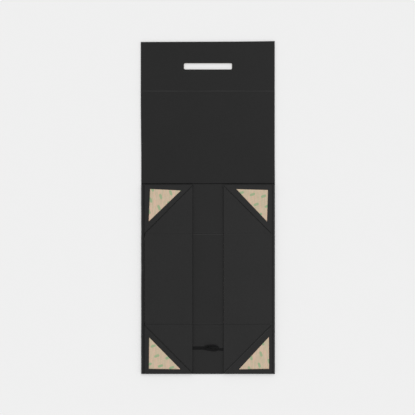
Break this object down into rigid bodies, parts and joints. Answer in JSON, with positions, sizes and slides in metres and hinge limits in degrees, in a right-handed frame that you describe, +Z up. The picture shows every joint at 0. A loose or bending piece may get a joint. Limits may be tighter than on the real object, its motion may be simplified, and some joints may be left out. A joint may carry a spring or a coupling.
{
  "type": "collapsible gift box",
  "caption": "Flat-folding rigid gift carrier for a wine bottle: hinged covered boards, creased corner gussets and a ribbon handle.",
  "frame": {"origin": "under the middle of the flat blank, on the surface it lies on", "axes": "+X across the box, +Y from the front wall towards the flap, +Z up, inside of the box up"},
  "size_m": [0.33, 0.8204, 0.0081],
  "materials": {
    "greyboard": "matte",
    "outer_paper": "matte",
    "lining_paper": "matte",
    "tape_adhesive": "satin",
    "release_liner": "satin",
    "magnet": "satin",
    "ribbon": "satin"
  },
  "bodies": {
    "base": {"base_board": "greyboard", "base_wrap": "outer_paper", "base_lining": "lining_paper"},
    "back_wall": {"back_wall_board": "greyboard", "back_wall_wrap": "outer_paper", "back_wall_lining": "lining_paper", "back_left_tape_gusset_board": "greyboard", "back_left_tape_gusset_wrap": "outer_paper", "back_left_tape_adhesive": "tape_adhesive", "back_left_tape_liner": "release_liner", "back_right_tape_gusset_board": "greyboard", "back_right_tape_gusset_wrap": "outer_paper", "back_right_tape_adhesive": "tape_adhesive", "back_right_tape_liner": "release_liner"},
    "lid": {"lid_board": "greyboard", "lid_wrap": "outer_paper", "lid_lining": "lining_paper"},
    "flap": {"flap_board": "greyboard", "flap_wrap": "outer_paper", "flap_lining": "lining_paper", "flap_magnets": "magnet"},
    "front_wall": {"front_wall_board": "greyboard", "front_wall_wrap": "outer_paper", "front_wall_lining": "lining_paper", "front_wall_magnets": "magnet", "handle_run_left": "ribbon", "handle_run_right": "ribbon", "handle_knot": "ribbon", "front_left_tape_gusset_board": "greyboard", "front_left_tape_gusset_wrap": "outer_paper", "front_left_tape_adhesive": "tape_adhesive", "front_left_tape_liner": "release_liner", "front_right_tape_gusset_board": "greyboard", "front_right_tape_gusset_wrap": "outer_paper", "front_right_tape_adhesive": "tape_adhesive", "front_right_tape_liner": "release_liner"},
    "handle": {"handle_loop": "ribbon"},
    "left_wall": {"left_wall_board": "greyboard", "left_wall_wrap": "outer_paper", "left_wall_lining": "lining_paper"},
    "right_wall": {"right_wall_board": "greyboard", "right_wall_wrap": "outer_paper", "right_wall_lining": "lining_paper"},
    "back_left_gusset": {"back_left_fold_gusset_board": "greyboard", "back_left_fold_gusset_wrap": "outer_paper"},
    "back_right_gusset": {"back_right_fold_gusset_board": "greyboard", "back_right_fold_gusset_wrap": "outer_paper"},
    "front_left_gusset": {"front_left_fold_gusset_board": "greyboard", "front_left_fold_gusset_wrap": "outer_paper"},
    "front_right_gusset": {"front_right_fold_gusset_board": "greyboard", "front_right_fold_gusset_wrap": "outer_paper"}
  },
  "joints": [
    {"name": "back_wall_fold", "type": "hinge", "parent": "base", "child": "back_wall", "pos_m": [0, -0.064, 0.0011], "axis": [1, 0, 0], "range_deg": [0, 90]},
    {"name": "lid_fold", "type": "hinge", "parent": "back_wall", "child": "lid", "pos_m": [0, 0.06, 0.0011], "axis": [1, 0, 0], "range_deg": [0, 90]},
    {"name": "flap_fold", "type": "hinge", "parent": "lid", "child": "flap", "pos_m": [0, 0.2888, 0.0011], "axis": [1, 0, 0], "range_deg": [0, 90]},
    {"name": "front_wall_fold", "type": "hinge", "parent": "base", "child": "front_wall", "pos_m": [0, -0.289, 0.0011], "axis": [-1, 0, 0], "range_deg": [0, 90]},
    {"name": "handle_swing", "type": "hinge", "parent": "front_wall", "child": "handle", "pos_m": [0, -0.3475, 0.0004], "axis": [1, 0, 0], "range_deg": [0, 90]},
    {"name": "left_wall_fold", "type": "hinge", "parent": "base", "child": "left_wall", "pos_m": [-0.15935, 0, 0.00165], "axis": [0, -1, 0], "range_deg": [0, 90]},
    {"name": "right_wall_fold", "type": "hinge", "parent": "base", "child": "right_wall", "pos_m": [0.15935, 0, 0.00165], "axis": [0, 1, 0], "range_deg": [0, 90]},
    {"name": "back_left_gusset_fold", "type": "hinge", "parent": "back_wall", "child": "back_left_gusset", "pos_m": [-0.1572, -0.064, 0.0077], "axis": [-0.7071, -0.7071, 0], "range_deg": [0, 179.1]},
    {"name": "back_right_gusset_fold", "type": "hinge", "parent": "back_wall", "child": "back_right_gusset", "pos_m": [0.1572, -0.064, 0.0077], "axis": [-0.7071, 0.7071, 0], "range_deg": [0, 179.1]},
    {"name": "front_left_gusset_fold", "type": "hinge", "parent": "front_wall", "child": "front_left_gusset", "pos_m": [-0.1572, -0.289, 0.0077], "axis": [0.7071, -0.7071, 0], "range_deg": [0, 179.1]},
    {"name": "front_right_gusset_fold", "type": "hinge", "parent": "front_wall", "child": "front_right_gusset", "pos_m": [0.1572, -0.289, 0.0077], "axis": [0.7071, 0.7071, 0], "range_deg": [0, 179.1]}
  ],
  "couplings": [
    {"joint": "front_wall_fold", "follows": "back_wall_fold", "ratio": 1},
    {"joint": "right_wall_fold", "follows": "left_wall_fold", "ratio": 1},
    {"joint": "back_left_gusset_fold", "follows": "back_wall_fold", "ratio": 1.9889},
    {"joint": "back_right_gusset_fold", "follows": "back_wall_fold", "ratio": 1.9889},
    {"joint": "front_left_gusset_fold", "follows": "back_wall_fold", "ratio": 1.9889},
    {"joint": "front_right_gusset_fold", "follows": "back_wall_fold", "ratio": 1.9889}
  ]
}
